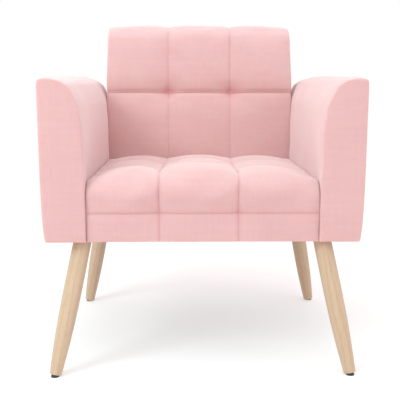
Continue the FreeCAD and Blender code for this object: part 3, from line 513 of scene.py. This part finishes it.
# ------------------------------------------------------------------ seat pad
def seat_pad():
    W = SEAT_HALF + 0.0002
    yf = SEAT_FRONT_Y + 0.0035
    R = 0.030
    seam_z, seam_ya, seam_yb = 0.361, SEAT_FRONT_Y + 0.132, SEAT_FRONT_Y + 0.3135
    z0 = BASE_Z - 0.0020
    cols = [cell(26), cell(26), cell(26)]
    xu = [(c, u) for c in range(3) for u in (cols[c] if c == 0 else cols[c][1:])]
    rows = [np.array([0, 0.05, 0.14, 0.27, 0.42, 0.58, 0.73, 0.86, 0.95, 1.0]), cell(32), cell(27), cell(27)]
    tv = [(r, v) for r in range(4) for v in (rows[r] if r == 0 else rows[r][1:])]
    deep = [0.0, 0.35, 0.62, 0.80, 0.90, 0.95, 0.98, 1.0]
    nx, nt, nd = len(xu) - 1, len(tv) - 1, len(deep) - 1
    idx, faces = lattice(nx, nt, nd)
    ci = np.array([c for c, u in xu])[idx[:, 0]]
    uu = np.array([u for c, u in xu])[idx[:, 0]]
    ri = np.array([r for r, v in tv])[idx[:, 1]]
    vv = np.array([v for r, v in tv])[idx[:, 1]]
    dd = np.array(deep)[idx[:, 2]]
    depth_share = np.where(ri <= 1, 0.0, np.where(ri == 2, vv * 0.5, 0.5 + vv * 0.5))
    s1 = -0.0950 + 0.0045 * depth_share
    s2 = 0.0775 + 0.0085 * depth_share
    edges = np.stack([np.full_like(s1, -W), s1, s2, np.full_like(s1, W)])
    x = edges[ci, np.arange(len(ci))] * (1 - uu) + edges[ci + 1, np.arange(len(ci))] * uu

    def height(x, y):
        g = np.interp(y - (SEAT_FRONT_Y + 0.337), [-0.34, -0.28, -0.20, 0.0, 0.16], [0.4450, 0.4450, 0.4405, 0.4365, 0.4315])
        return 0.4300 + (g - 0.4300) * (1 - np.abs(x / W) ** 2.4) * 1.12

    hn = height(x, np.full_like(x, yf + R))
    Lf, La, Lt = hn - R - seam_z, R * math.pi / 2, seam_ya - yf - R
    s = vv * (Lf + La + Lt)
    ang = np.clip((s - Lf) / R, 0, math.pi / 2)
    ytop = yf + R + np.maximum(s - Lf - La, 0)
    yA = np.where(s < Lf, yf, np.where(s < Lf + La, yf + R - R * np.cos(ang), ytop))
    zA = np.where(s < Lf, seam_z + s, np.where(s < Lf + La, hn - R + R * np.sin(ang), height(x, ytop)))
    y_rear = lean(0.432) - 0.0008
    yB = np.where(ri == 2, seam_ya + (seam_yb - seam_ya) * vv, seam_yb + (y_rear - seam_yb) * vv)
    Py = np.where(ri == 0, yf, np.where(ri == 1, yA, yB))
    Pz = np.where(ri == 0, z0 + (seam_z - z0) * vv, np.where(ri == 1, zA, height(x, yB)))
    q_front = BEARER_FRONT_Y - 0.0008
    q_rear = lean(PAD_LOW) - 0.0008
    low = PAD_LOW + 0.0006
    Qy = np.where(ri == 0, q_front, np.where(ri == 1, q_front + (seam_ya - q_front) * vv,
                  np.where(ri == 2, yB, seam_yb + (q_rear - seam_yb) * vv)))
    Qz = np.where(ri == 0, z0 + (low - z0) * vv, low)
    th = np.hypot(Py - Qy, Pz - Qz)
    z_line = Pz
    # rolled edges where the top meets the sides, and at the bottom and rear ends
    a, b = W - np.abs(x), (1 - dd) * th
    r = np.minimum(np.where(z_line < 0.400, 0.0008, 0.0008 + 0.0040 * smooth(0.400, 0.425, z_line)), th * 0.4)
    inside = (a < r) & (b < r)
    n = np.hypot(r - a, r - b)
    f = np.where(inside & (n > r), r / np.maximum(n, 1e-9), 1.0)
    a2, b2 = np.where(inside, r - (r - a) * f, a), np.where(inside, r - (r - b) * f, b)
    x = np.sign(x) * (W - a2)
    rear = np.where(ri == 3, (1 - vv) * (y_rear - seam_yb), 1.0)
    rr = 0.014
    inside = (rear < rr) & (b2 < rr)
    n = np.hypot(rr - rear, rr - b2)
    f = np.where(inside & (n > rr), rr / np.maximum(n, 1e-9), 1.0)
    shift = np.where(inside, (rr - (rr - rear) * f) - rear, 0.0)
    b2 = np.where(inside, rr - (rr - b2) * f, b2)
    keep = 1 - b2 / th
    y = Qy + (Py - Qy) * keep - shift
    z = Qz + (Pz - Qz) * keep
    bottom = np.where(ri == 0, z - z0, 1.0)
    rb = 0.0012
    inside = (bottom < rb) & (b2 < rb)
    n = np.hypot(rb - bottom, rb - b2)
    lift = np.where(inside & (n > rb), (rb - (rb - bottom) * rb / np.maximum(n, 1e-9)) - bottom, 0)
    z = z + lift
    ob = build("seat_pad", np.stack([x, y, z], 1), faces, SUEDE)
    outer = idx[:, 2] == nd
    c_lines = [len(cols[0]) - 1, len(cols[0]) + len(cols[1]) - 2]
    t_lines = [len(rows[0]) - 1, len(rows[0]) + len(rows[1]) - 2, len(rows[0]) + len(rows[1]) + len(rows[2]) - 3]
    on_seam = np.isin(idx[:, 0], c_lines) | np.isin(idx[:, 1], t_lines)
    free = outer & ~on_seam & (idx[:, 0] > 0) & (idx[:, 0] < nx) & (idx[:, 1] > 0) & (idx[:, 1] < nt)
    # the held cloth swells between its seams
    move = inflate(ob, ~free, pressure=3.0, slack=0.03)
    nrm = normals(ob)
    push = np.clip((move * nrm).sum(1), 0, None)
    target = {(0, 0): 0.0050, (0, 1): 0.0055, (0, 2): 0.0050, (1, 0): 0.0150, (1, 1): 0.0180, (1, 2): 0.0150,
              (2, 0): 0.0145, (2, 1): 0.0170, (2, 2): 0.0145, (3, 0): 0.0115, (3, 1): 0.0125, (3, 2): 0.0115}
    out = np.zeros_like(move)
    for (rw, cl), h in target.items():
        pick = free & (ri == rw) & (ci == cl)
        # points on the shared lines belong to their neighbours; only inside points move
        top = np.percentile(push[pick], 99) or 1.0
        share = np.clip(push[pick] / max(top, 1e-6), 0, 1.05)
        round_ = 1 - (1 - np.clip(share, 0, 1)) ** 1.12
        side = move[pick] - nrm[pick] * push[pick][:, None]
        out[pick] = nrm[pick] * (round_ * h)[:, None] + side * (h / max(top, 1e-6)) * 0.6
    out = relax(ob, out, 14, ~free) * 1.10
    # the front face stays close to the line of the arms
    front = smooth(0.41, 0.37, z) * outer
    out[:, 1] *= 1 - 0.35 * front
    co = coords(ob) + out
    # sewn lines: a narrow groove along every seam and a deeper pull where two seams cross
    flat_x, flat_t = x, np.where(ri == 0, (vv - 1) * 0.061, np.where(ri == 1, vv * 0.21, np.where(ri == 2, 0.21 + vv * 0.181, 0.391 + vv * 0.181)))
    seam_x1, seam_x2 = s1, s2
    gx = np.minimum(np.abs(flat_x - seam_x1), np.abs(flat_x - seam_x2))
    gt = np.minimum(np.minimum(np.abs(flat_t), np.abs(flat_t - 0.21)), np.abs(flat_t - 0.391))
    groove = np.maximum(np.exp(-(gx / 0.0032) ** 2), np.exp(-(gt / 0.0028) ** 2) * np.where(ri <= 1, 1.0, 0.9)) * outer
    on_top = flat_t > 0.10
    tuft = np.exp(-(gx ** 2 + gt ** 2) / (2 * 0.0080 ** 2)) * outer
    co -= nrm * (groove * 0.0022 + tuft * np.where(on_top, 0.0022, 0.0050))[:, None]
    wide = np.exp(-(gx ** 2 + gt ** 2) / (2 * 0.030 ** 2)) * outer
    co -= nrm * (wide * np.where(on_top, 0.0010, 0.0030))[:, None]
    soft = hash_noise(co, 18.0, 1) * 0.0005 + hash_noise(co, 60.0, 2) * 0.00008
    co += nrm * (soft * free)[:, None]
    set_coords(ob, co)
    # seam mask: thin dark seam lines, plus painted shade in the valleys behind the transverse seams, in the tuft dents
    # where seams cross, and along the side flanks where the seat meets the arms
    painted_valley_shade = np.exp(-(np.where(on_top, gt, 1.0) / 0.0065) ** 2) * outer * 0.55
    line = np.maximum(np.exp(-(gx / 0.0022) ** 2), np.exp(-(gt / 0.0020) ** 2)) * outer * 0.6
    crease(ob, ((idx[:, 0] == 0) | (idx[:, 0] == nx)) & outer & (z < 0.425), 0.8)
    crease(ob, outer & (idx[:, 1] == 0), 0.8)
    painted_flank_shade = ((idx[:, 0] == 0) | (idx[:, 0] == nx)) * 0.30 * smooth(0.428, 0.410, z)
    mark(ob, "seam_and_shade", np.clip(np.maximum(np.maximum(line, painted_valley_shade) + tuft * 0.25, painted_flank_shade), 0, 1))
    subdivide(ob)
    return ob


# ------------------------------------------------------------------ back pad
def back_pad():
    base_w, top_w = BACK_HALF, BACK_HALF - 0.0050
    z_seam = 0.6136
    depth_b = np.array([0, 0.002, 0.006, 0.012, 0.019, 0.028, 0.038, 0.050, 0.0545, 0.066, 0.078, 0.086, 0.091, 0.094, 0.097, 0.100, 0.102, 0.103])[::-1]
    cols = [cell(26), cell(26), cell(26)]
    xu = [(c, u) for c in range(3) for u in (cols[c] if c == 0 else cols[c][1:])]
    rows = [cell(36), np.unique(np.concatenate([cell(28), [0.026, 0.0345, 0.056]]))]
    # the last stretch to the top edge is divided finely for its roll
    tv = [(r, v) for r in range(2) for v in (rows[r] if r == 0 else rows[r][1:])]
    nx, nt, nd = len(xu) - 1, len(tv) - 1, len(depth_b) - 1
    idx, faces = lattice(nx, nt, nd)
    ci = np.array([c for c, u in xu])[idx[:, 0]]
    uu = np.array([u for c, u in xu])[idx[:, 0]]
    ri = np.array([r for r, v in tv])[idx[:, 1]]
    vv = np.array([v for r, v in tv])[idx[:, 1]]
    bb = depth_b[idx[:, 2]]
    z_bot = np.where(bb < 0.052, PAD_LOW + 0.001, np.where(bb < 0.0985, DUST_TOP_Z + 0.0006, BASE_Z + 0.0006))
    span = np.stack([np.full_like(bb, -1.0), np.full_like(bb, -0.34), np.full_like(bb, 0.34), np.full_like(bb, 1.0)])
    across = span[ci, np.arange(len(ci))] * (1 - uu) + span[ci + 1, np.arange(len(ci))] * uu
    z_top = BACK_TOP_Z - 0.0014 - 0.0070 * np.abs(across) ** 3
    z = np.where(ri == 0, z_bot + (z_seam - z_bot) * vv, z_seam + (z_top - z_seam) * vv)
    W = base_w + (top_w - base_w) * np.clip((z - ARM_TOP_Z) / (z_top - ARM_TOP_Z), 0, 1)
    # below the deck the pad is as narrow as the frame between the side rails
    W = np.where(z < PAD_LOW, np.minimum(W, 0.2572 + 0.0065 * smooth(PAD_LOW - 0.004, PAD_LOW, z)), W)
    edges = np.stack([-W, np.full_like(W, -0.088), np.full_like(W, 0.088), W])
    x = edges[ci, np.arange(len(ci))] * (1 - uu) + edges[ci + 1, np.arange(len(ci))] * uu
    # the top rolls over from face to rear on a wide radius, the side edges are sewn square on a small one
    roll = 0.036
    cz, cb = np.minimum(z, z_top - roll), np.clip(bb, roll, BACK_DEPTH - roll)
    qz, qb = disc((z - cz) / roll, (bb - cb) / roll)
    z, b = cz + qz * roll, cb + qb * roll
    reach = np.hypot(qz, qb)
    within = roll * (1 - reach)
    out_z, out_b = qz / np.maximum(reach, 1e-9), qb / np.maximum(reach, 1e-9)
    r = np.where(z > ARM_TOP_Z - 0.03, 0.0055, 0.0045)
    a = W - np.abs(x)
    edge = (a < r) & (within < r)
    pa, pb = disc((r - a) / r, (r - within) / r)
    x = np.where(edge, np.sign(x) * (W - r + r * pa), x)
    sink = np.where(edge, r - r * pb - within, 0.0)
    z, b = z - out_z * sink, b - out_b * sink
    y = lean(z, b)
    ob = build("back_pad", np.stack([x, y, z], 1), faces, SUEDE)
    nrm = normals(ob)
    front, rear = idx[:, 2] == nd, idx[:, 2] == 0
    top = idx[:, 1] == nt
    side = (idx[:, 0] == 0) | (idx[:, 0] == nx)
    k_seam = int(np.argmin(np.abs(depth_b - 0.094)))
    c_lines = [len(cols[0]) - 1, len(cols[0]) + len(cols[1]) - 2]
    t_line = len(rows[0]) - 1
    v_seam = np.isin(idx[:, 0], c_lines) & (idx[:, 2] >= k_seam)
    h_seam = (idx[:, 1] == t_line) & (idx[:, 2] >= k_seam)
    r_seam = (idx[:, 2] == k_seam) & (top | side)
    hidden = (coords(ob)[:, 2] < 0.40) & ~rear
    squeezed = side & (coords(ob)[:, 2] < ARM_TOP_Z - 0.045)
    held = v_seam | h_seam | r_seam | hidden | squeezed | (idx[:, 1] == 0) | (rear & side) | (rear & (coords(ob)[:, 2] < 0.306))
    free = ~held
    move = inflate(ob, held, pressure=3.0, slack=0.025)
    push = np.clip((move * nrm).sum(1), 0, None)
    out = np.zeros_like(move)
    # how far each zone swells: face cells with their top lobes, side walls, outside back
    zones = []
    for cl in range(3):
        zones.append((free & ~side & (ci == cl) & (ri == 1) & (idx[:, 2] >= k_seam), 0.0096, 1.6))
        zones.append((free & ~side & (ci == cl) & (ri == 0) & (idx[:, 2] >= k_seam), 0.0052, 1.5))
    zones.append((free & side & (idx[:, 2] >= k_seam), 0.0025, 1.3))
    zones.append((free & (idx[:, 2] < k_seam), 0.0035, 1.3))
    for pick, h, power in zones:
        if not pick.any():
            continue
        top_push = max(np.percentile(push[pick], 98), 1e-6)
        share = np.clip(push[pick] / top_push, 0, 1)
        crest = pick & (z > z_top - 0.012)
        if h > 0.0095 and crest.any():
            # the lobes along the top edge are as full as the face below them
            t = smooth(-0.060, -0.008, (z - z_top)[pick])
            power = power * (1 - t) + 0.95 * t
            share = share * (1 - t) + t * 0.92 * np.clip(push[pick] / max(np.percentile(push[crest], 95), 1e-6), 0, 1)
        out[pick] = nrm[pick] * ((1 - (1 - share) ** power) * h)[:, None]
    out = relax(ob, out, 14, held) * 1.08
    # along the top edge each lobe rises in one gentle arc from seam to seam
    from_seam = np.minimum(np.where(ci == 0, 1 - uu, np.where(ci == 2, uu, np.minimum(uu, 1 - uu))), 0.5)
    arc = (4 * from_seam * (1 - from_seam)) ** 0.9
    near_top = smooth(-0.045, -0.006, z - z_top) * (idx[:, 2] >= k_seam) * ~side
    out *= (1 - near_top * (1 - (0.10 + 0.90 * arc)))[:, None]
    co = coords(ob) + out
    ux = np.minimum(np.abs(x - 0.088), np.abs(x + 0.088))
    face_side = idx[:, 2] >= k_seam
    along_h = np.abs(z - z_seam)
    # a vertical seam is shallow low down, and pulls harder beside the cross seam and near the top
    pull_v = 0.0014 + 0.0016 * np.exp(-((z - z_seam) / 0.05) ** 2) + 0.0008 * smooth(0.70, 0.79, z)
    groove = np.exp(-(ux / 0.0028) ** 2) * pull_v * face_side
    cross = np.exp(-(along_h / 0.0026) ** 2) * 0.0026 * face_side * (z < z_top - 0.05)
    stitch = np.exp(-((z - z_seam - 0.0063) / 0.0013) ** 2) * face_side * (z < z_top - 0.05)
    fold = np.exp(-((z - z_seam - 0.004) / 0.010) ** 2) * 0.0012 * front + stitch * 0.0012
    tuft = np.exp(-(ux ** 2 + along_h ** 2) / (2 * 0.0095 ** 2)) * front
    wide = np.exp(-((ux / 0.034) ** 2 + ((z - z_seam - 0.004) / 0.026) ** 2)) * front
    co -= nrm * (np.maximum(groove, cross) + fold + tuft * 0.0060 + wide * 0.0085)[:, None]
    rear_groove = np.exp(-((b - 0.094) / 0.0022) ** 2) * (top | side | (np.abs(nrm[:, 1]) < 0.9)) * 0.0016
    co -= nrm * (rear_groove * (idx[:, 2] < nd))[:, None]
    soft = hash_noise(co, 16.0, 3) * 0.0005 + hash_noise(co, 60.0, 4) * 0.00008
    co += nrm * (soft * free)[:, None]
    set_coords(ob, co)
    seam_and_shade = np.maximum(np.exp(-(ux / 0.0018) ** 2) * 0.35 * face_side, np.exp(-(along_h / 0.0018) ** 2) * 0.75 * face_side * (z < z_top - 0.05))
    seam_and_shade = np.maximum(seam_and_shade, stitch * 0.30)
    seam_and_shade = np.maximum(seam_and_shade, np.exp(-((b - 0.094) / 0.0016) ** 2) * 0.5 * (top | side))
    # painted shade: a darker, redder pink in the dent round each seam crossing, and faintly across the wide dent about
    # it
    painted_junction_shade = np.exp(-(ux ** 2 + (z - z_seam - 0.003) ** 2) / (2 * 0.012 ** 2)) * front
    mark(ob, "seam_and_shade", np.clip(seam_and_shade + painted_junction_shade * 0.6 + wide * 0.15, 0, 1))
    subdivide(ob)
    return ob


# ------------------------------------------------------------------ arm pads
def arm_pad(side, name):
    """One slab arm: a flat front panel sewn round its edge to a wrap with a rolled inner shoulder."""
    z0, z1 = BASE_Z - 0.0014, ARM_TOP_Z
    shoulder = [(0.2540, z0), (0.2540, 0.392), (0.2543, 0.440), (0.2566, 0.470), (0.2571, 0.500), (0.2582, 0.536), (0.2600, 0.560), (0.2625, 0.585),
                (0.2670, 0.600), (0.2760, 0.618), (0.2850, 0.634), (0.2960, 0.642), (0.3070, 0.647), (0.3130, 0.6488), (0.3180, z1)]
    sx = np.array([p[0] for p in shoulder]) + 0.0001
    sz = np.array([p[1] for p in shoulder])
    outer = [(0.3420, z0), (0.3440, 0.305), (0.3470, 0.332), (0.3485, 0.366), (0.3490, 0.400), (0.3496, 0.435), (0.3497, 0.600), (0.3497, 0.638), (0.3480, 0.6455), (0.3430, z1)]
    ox = np.array([p[0] for p in outer])
    oz = np.array([p[1] for p in outer])
    zs = np.concatenate([[0, 0.006, 0.016], np.linspace(0.03, 0.80, 30), [0.825, 0.85, 0.875, 0.90, 0.92, 0.938, 0.952, 0.964, 0.974, 0.983, 0.990, 0.9955, 1.0]])
    ys = np.concatenate([[0, 0.004, 0.012, 0.0235, 0.0312], np.linspace(0.042, 0.955, 52), [0.972, 0.983, 0.9900, 0.9955, 1.0]])
    xs = np.array([0, 0.03, 0.10, 0.2, 0.3, 0.4, 0.5, 0.6, 0.7, 0.8, 0.90, 0.97, 1.0])
    # lattice axes: i across, j up, k along the depth; k = nd is the front
    nx, nz, ny = len(xs) - 1, len(zs) - 1, len(ys) - 1
    idx, faces = lattice(nx, nz, ny)
    u, w, v = xs[idx[:, 0]], zs[idx[:, 1]], 1 - ys[::-1][idx[:, 2]]
    z = z0 + (z1 - z0) * w
    y_front = ARM_FRONT_Y
    y_rear = lean(z, BACK_DEPTH)
    v = 1 - v
    v = ys[ny - idx[:, 2]]
    y = y_front + (y_rear - y_front) * v
    xi, xo = np.interp(z, sz, sx), np.interp(z, oz, ox)
    # the padding is pressed back where the edge of the back stands beside it
    beside = smooth(-0.006, 0.004, y - lean(z))
    xi = np.maximum(xi, xi * (1 - beside) + (BACK_HALF + 0.0003) * beside)
    x = xi + (xo - xi) * u
    # the dust cover is tacked on under the arm, inside the folded edge of the wrap
    z = np.where((idx[:, 1] == 0) & (x < DUST_HI.x - 0.0005) & (y > DUST_LO.y - 0.0008) & (y < DUST_HI.y + 0.0010), DUST_TOP_Z + 0.0006, z)
    ob = build(name, np.stack([x, y, z], 1), faces, SUEDE)
    front, rear = idx[:, 2] == ny, idx[:, 2] == 0
    top, bottom = idx[:, 1] == nz, idx[:, 1] == 0
    inner, outside = idx[:, 0] == 0, idx[:, 0] == nx
    nrm = normals(ob)
    ring = front & (top | bottom | inner | outside)
    rear_ring = rear & (top | bottom | inner | outside)
    tight = inner & ((z < 0.445) | (y > lean(z) - 0.02))
    held = ring | rear_ring | bottom | tight
    move = inflate(ob, held, pressure=2.0, slack=0.012, bending=4.0)
    push = np.clip((move * nrm).sum(1), 0, None)
    out = np.zeros_like(move)
    body = ~front & ~rear
    crown = body & (z > 0.60) & ~held
    zones = [(front & ~held, 0.0030, 1.3), (rear & ~held, 0.0025, 1.2), (body & ~held & (nrm[:, 0] > 0.7), 0.0030, 1.4),
             (body & ~held & (nrm[:, 0] <= 0.7) & (z <= 0.60), 0.0050, 1.3), (crown & (nrm[:, 0] <= 0.7), 0.0075, 1.6)]
    for pick, h, power in zones:
        if pick.any():
            top_push = max(np.percentile(push[pick], 97), 1e-6)
            out[pick] = nrm[pick] * ((1 - (1 - np.clip(push[pick] / top_push, 0, 1)) ** power) * h)[:, None]
    out = relax(ob, out, 18, held)
    out *= np.where(held, 0.0, 1.0)[:, None]
    co = coords(ob) + out
    # the crown along the arm stands a little above the front seam and grows towards the rear
    over = smooth(0.585, ARM_TOP_Z, z) * ~rear_ring * ~ring * smooth(0.0, 0.07, y_rear - y)
    ridge = body & top & (np.abs(u - 0.5) < 0.25) & (y - y_front > 0.08) & (y_rear - y > 0.08)
    have = float(np.median(co[ridge, 2])) - ARM_TOP_Z
    grow = 0.0030 * smooth(0.0, 0.035, y - y_front) + 0.0042 * smooth(0.03, 0.40, y - y_front)
    co[:, 2] += over * (grow - have * smooth(0.0, 0.06, y - y_front)) * (0.55 + 0.45 * np.sin(math.pi * np.clip(u, 0.02, 0.98)))
    co[:, 2] += 0.0016 * np.sin(math.pi * u) * top
    # the sewn edge round the front panel, and the one at the rear
    edge = np.abs(y - y_front)
    sewn = np.exp(-((edge - 0.0022) / 0.0018) ** 2) * body * 0.0011
    edge_rear = np.abs(y - y_rear)
    sewn += np.exp(-((edge_rear - 0.004) / 0.0022) ** 2) * body * 0.0011
    co -= nrm * (sewn * ~bottom)[:, None]
    # the wrap pulls into soft upright waves on its inner side, behind the front seam
    wave = np.sin((y - y_front) * 48.0 - 0.6) * np.exp(-(y - y_front) / 0.08) * smooth(0.43, 0.50, z) * smooth(0.66, 0.60, z)
    co += nrm * (wave * 0.0010 * (body & inner & ~held))[:, None]
    soft = hash_noise(co, 11.0, 5 + (side > 0)) * 0.0008 + hash_noise(co, 50.0, 7 + (side > 0)) * 0.00008
    co += nrm * (soft * ~held * (1 - np.exp(-(edge / 0.02) ** 2)))[:, None]
    # set the front edge ring back a little and give it a partial crease
    rr = 0.0045
    co[ring, 1] += 0.0012
    crevice_shade_zone = inner & (z < 0.435)
    crease(ob, ring, 0.7)
    # seam mask: dark lines along the front and rear seams, plus painted shade on the low inner face beside the front
    # edge, in the crevice where the arm meets the seat
    mark(ob, "seam_and_shade", np.clip(np.exp(-((edge - 0.0018) / 0.0016) ** 2) * body * 0.45 + crevice_shade_zone * smooth(0.03, 0.005, edge) * 0.25 + np.exp(-((edge_rear - 0.004) / 0.002) ** 2) * body * 0.4, 0, 1))
    if side < 0:
        co[:, 0] *= -1
        ob.data.flip_normals()
    set_coords(ob, co)
    subdivide(ob)
    return ob


seat = seat_pad()
back = back_pad()
arm_r = arm_pad(1, "arm_pad_right")
arm_l = arm_pad(-1, "arm_pad_left")
for ob, nodes, fill in ((seat, ("seat_foam", "seat_cover"), 0.85), (back, ("back_foam", "back_cover_front", "back_cover_rear"), 0.85),
                        (arm_r, ("arm_foam_right", "arm_cover_right", "arm_front_cover_right"), 0.95),
                        (arm_l, ("arm_foam_left", "arm_cover_left", "arm_front_cover_left"), 0.95)):
    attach(ob, "root")
    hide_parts(*nodes)


# ------------------------------------------------------------------ dust cover
def dust_cover():
    lo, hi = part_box("dust_cover")
    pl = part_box("leg_plates")
    half = 0.0242
    rows_y = [(pl[0].y + 0.023, half), (pl[1].y - 0.023, half)]
    gx = sorted(set([round(v, 5) for v in np.linspace(lo.x, hi.x, 57)] + [round(s * (0.266 + e), 5) for s in (-1, 1) for e in (-half, half)]))
    gy = sorted(set([round(v, 5) for v in np.linspace(lo.y, hi.y, 47)] + [round(c + e, 5) for c, h in rows_y for e in (-h, h)]))
    t = 0.0004
    verts, faces, vid = [], [], {}
    zc = (lo.z + hi.z) / 2

    def sheet_z(x, y):
        ex = min(abs(x - lo.x), abs(x - hi.x), abs(y - lo.y), abs(y - hi.y))
        sag = 0.0016 * min(1.0, ex / 0.12)
        ripple = 0.00035 * math.sin(x * 95.0) * math.exp(-abs(y - lo.y) / 0.03) + 0.00035 * math.sin(y * 88.0) * math.exp(-abs(abs(x) - hi.x) / 0.03)
        return zc - sag + ripple

    def hole(x, y):
        return any(abs(abs(x) - 0.266) < half and abs(y - c) < h for c, h in rows_y)

    def v(i, j, up):
        if (i, j, up) not in vid:
            vid[(i, j, up)] = len(verts)
            verts.append((gx[i], gy[j], sheet_z(gx[i], gy[j]) + (t if up else -t)))
        return vid[(i, j, up)]

    solid = {(i, j) for i in range(len(gx) - 1) for j in range(len(gy) - 1) if not hole((gx[i] + gx[i + 1]) / 2, (gy[j] + gy[j + 1]) / 2)}
    for i, j in sorted(solid):
        faces.append((v(i, j, 1), v(i + 1, j, 1), v(i + 1, j + 1, 1), v(i, j + 1, 1)))
        faces.append((v(i, j, 0), v(i, j + 1, 0), v(i + 1, j + 1, 0), v(i + 1, j, 0)))
        for di, dj, a, b in ((0, -1, (i, j), (i + 1, j)), (1, 0, (i + 1, j), (i + 1, j + 1)), (0, 1, (i + 1, j + 1), (i, j + 1)), (-1, 0, (i, j + 1), (i, j))):
            if (i + di, j + dj) not in solid:
                faces.append((v(*a, 0), v(*b, 0), v(*b, 1), v(*a, 1)))
    ob = build("dust_sheet", verts, faces, DUST)
    cut = sum((gx[i + 1] - gx[i]) * (gy[j + 1] - gy[j]) for i, j in solid)
    return ob, (hi.x - lo.x, hi.y - lo.y), cut


dust, dust_flat, dust_area = dust_cover()
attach(dust, "root")
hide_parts("dust_cover")

# ------------------------------------------------------------------ carried-over pieces get their materials
LEG_LIGHT, LEG_DARK = (0.600, 0.418, 0.300), (0.478, 0.302, 0.186)
for n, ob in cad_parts.items():
    if n.startswith("leg_") and n.split("_")[1] in ("front", "rear") and n.count("_") == 2:
        sx = 1 if n.endswith("right") else -1
        sy = 1 if "front" in n else -1
        m = timber_material("turned_" + n, (-60.0 * sx, 59.0 * sy, 300.0), LEG_LIGHT, LEG_DARK, 1.0, 0.46, 0.12)
    elif n.startswith("glide_") and n != "glide_nails":
        m = PLASTIC
    elif n in ("leg_plates", "leg_hanger_bolts", "leg_plate_screws", "frame_screws", "back_bolts", "back_bolt_washers", "back_bolt_nuts", "glide_nails"):
        m = STEEL
    elif "webbing" in n:
        m = WEBBING
    elif "board" in n:
        m = BOARD
    elif n.startswith("side_rail") or n.startswith("arm_top_rail"):
        m = PINE_DEEP
    elif "post" in n or "stile" in n:
        m = PINE_UP
    elif n == "dust_cover":
        m = DUST
    elif "cover" in n or "foam" in n:
        m = SUEDE
    else:
        m = PINE
    ob.data.materials.clear()
    ob.data.materials.append(m)

bpy.context.view_layer.update()
